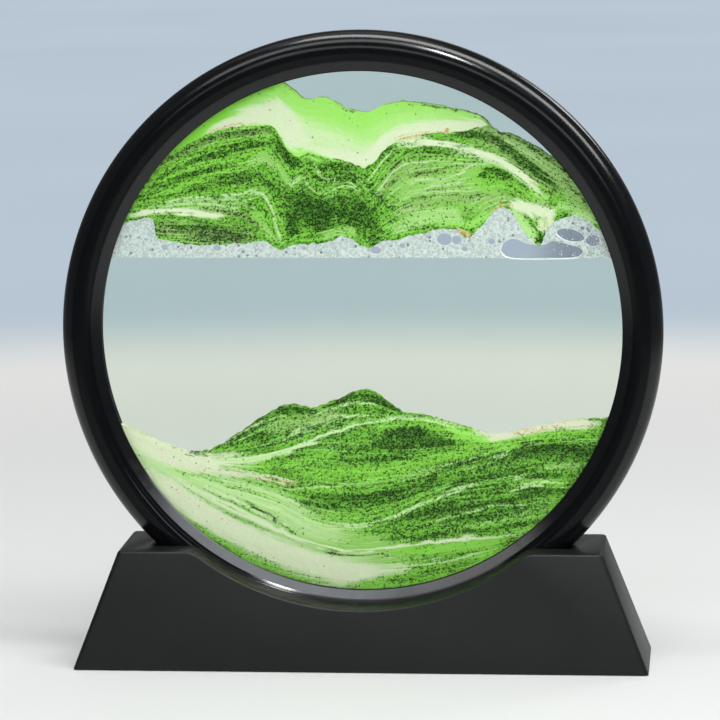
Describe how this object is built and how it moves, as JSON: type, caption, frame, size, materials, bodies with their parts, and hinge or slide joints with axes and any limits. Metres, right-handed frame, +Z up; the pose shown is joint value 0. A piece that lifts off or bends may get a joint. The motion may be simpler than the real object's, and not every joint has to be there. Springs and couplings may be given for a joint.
{
  "type": "moving sand art frame",
  "caption": "Round liquid sand picture in a glossy ring that turns in the slot of a trapezoid stand, so that coloured sand drifts down through a row of trapped bubbles.",
  "frame": {"origin": "under the middle of the base, on the surface that its feet stand on", "axes": "+Z up, +Y from the front to the rear along the ring's turning axis, +X to the right seen from the front"},
  "size_m": [0.18, 0.0402, 0.19],
  "materials": {
    "gloss_black_bezel": "gloss",
    "matte_black_base": "matte",
    "cell_glass": "polished",
    "spacer_black": "matte",
    "clear_silicone": "satin",
    "black_rubber": "matte",
    "port_brass": "satin",
    "screw_steel": "satin",
    "green_sand": "matte",
    "pale_sand": "matte",
    "lime_sand": "matte",
    "bubble_foam": "gloss",
    "clear_liquid": "polished"
  },
  "bodies": {
    "base": {"base_shell": "matte_black_base", "bottom_cover": "matte_black_base", "cover_screw_front_left": "screw_steel", "cover_screw_front_right": "screw_steel", "cover_screw_rear_left": "screw_steel", "cover_screw_rear_right": "screw_steel", "foot_front_left": "black_rubber", "foot_front_right": "black_rubber", "foot_rear_left": "black_rubber", "foot_rear_right": "black_rubber"},
    "ring": {"front_bezel": "gloss_black_bezel", "rear_bezel": "gloss_black_bezel", "front_pane": "cell_glass", "rear_pane": "cell_glass", "spacer_ring": "spacer_black", "front_seal": "clear_silicone", "rear_seal": "clear_silicone", "lower_dune_pale_sand": "pale_sand", "lower_dune_green_sand": "green_sand", "lower_dune_peak_sand": "green_sand", "upper_bank_green_sand": "green_sand", "upper_bank_lime_sand": "lime_sand", "bubble_raft": "bubble_foam", "lower_liquid": "clear_liquid", "upper_liquid": "clear_liquid", "fill_port_bush": "port_brass", "fill_screw_washer": "black_rubber"},
    "fill_screw": {"fill_screw": "screw_steel"}
  },
  "joints": [
    {"name": "ring_turn", "type": "hinge", "parent": "base", "child": "ring", "pos_m": [0, 0, 0.1], "axis": [0, 1, 0], "continuous": true},
    {"name": "fill_screw_turn", "type": "hinge", "parent": "ring", "child": "fill_screw", "pos_m": [0, 0, 0.012], "axis": [0, 0, -1], "continuous": true}
  ]
}
